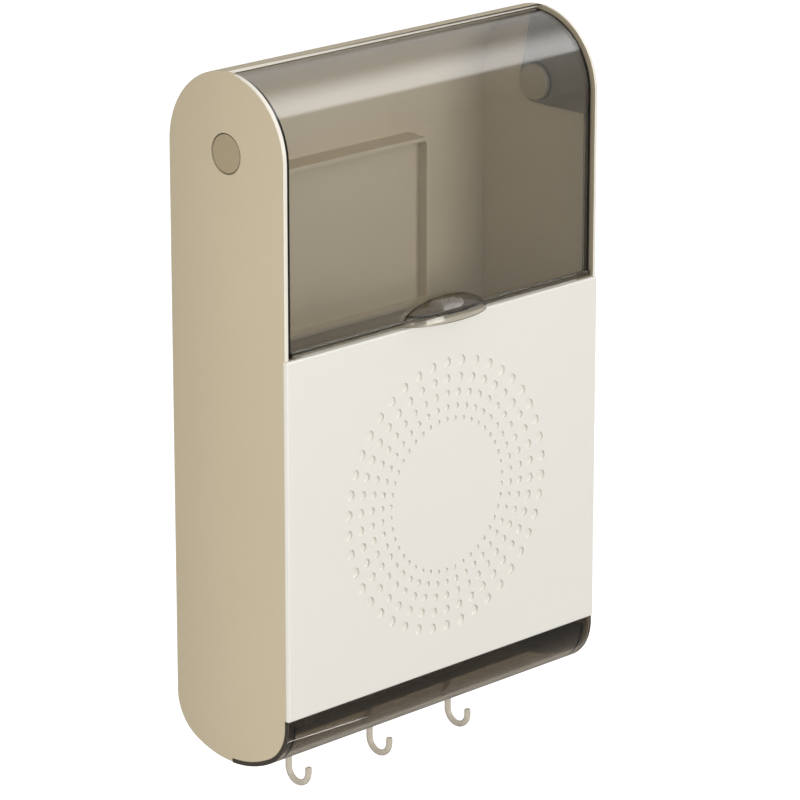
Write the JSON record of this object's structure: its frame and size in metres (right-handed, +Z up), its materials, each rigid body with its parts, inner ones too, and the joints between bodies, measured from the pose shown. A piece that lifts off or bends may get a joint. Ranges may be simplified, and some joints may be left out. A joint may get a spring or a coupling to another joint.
{
  "type": "wall-mounted chopstick holder",
  "caption": "Tall wall-hung utensil holder with a round top, smoky flip lid, dimpled front panel, drain basket, pull-out drip tray and hooks below.",
  "frame": {"origin": "on the wall, at the middle of the wall plate", "axes": "+X to the right seen from the front, +Y into the wall, +Z up"},
  "size_m": [0.26, 0.1079, 0.45],
  "materials": {
    "housing_beige": "satin moulded",
    "panel_white": "satin moulded",
    "smoke_clear": "polished clear, smoky brown",
    "hook_clear": "polished translucent",
    "basket_grey": "satin moulded",
    "spring_steel": "plain",
    "plate_grey": "satin moulded",
    "pad_foam": "foam",
    "stop_rubber": "matt translucent"
  },
  "bodies": {
    "holder": {"housing": "housing_beige", "front_panel": "panel_white", "hook_left": "hook_clear", "hook_middle": "hook_clear", "hook_right": "hook_clear", "hook_retainer_left": "spring_steel", "hook_retainer_middle": "spring_steel", "hook_retainer_right": "spring_steel", "wall_plate": "plate_grey", "wall_pad": "pad_foam", "wall_bumper_left": "stop_rubber", "wall_bumper_right": "stop_rubber", "lid_bumper_left": "stop_rubber", "lid_bumper_right": "stop_rubber"},
    "lid": {"lid": "smoke_clear", "lid_pivot_left": "smoke_clear", "lid_pivot_right": "smoke_clear", "pivot_cap_left": "smoke_clear", "pivot_cap_right": "smoke_clear"},
    "tray": {"drip_tray": "smoke_clear"},
    "basket": {"basket": "basket_grey"},
    "divider_left": {"divider_left": "basket_grey"},
    "divider_middle": {"divider_middle": "basket_grey"},
    "divider_right": {"divider_right": "basket_grey"}
  },
  "joints": [
    {"name": "lid_hinge", "type": "hinge", "parent": "holder", "child": "lid", "pos_m": [0, -0.0485, 0.0805], "axis": [-1, 0, 0], "range_deg": [0, 90]},
    {"name": "tray_slide", "type": "slide", "parent": "holder", "child": "tray", "axis": [0, -1, 0], "range_m": [0, 0.045]},
    {"name": "basket_lift", "type": "slide", "parent": "holder", "child": "basket", "axis": [0, 0, 1], "range_m": [0, 0.11]},
    {"name": "divider_left_lift", "type": "slide", "parent": "basket", "child": "divider_left", "axis": [0, 0, 1], "range_m": [0, 0.09]},
    {"name": "divider_middle_lift", "type": "slide", "parent": "basket", "child": "divider_middle", "axis": [0, 0, 1], "range_m": [0, 0.09]},
    {"name": "divider_right_lift", "type": "slide", "parent": "basket", "child": "divider_right", "axis": [0, 0, 1], "range_m": [0, 0.09]}
  ]
}
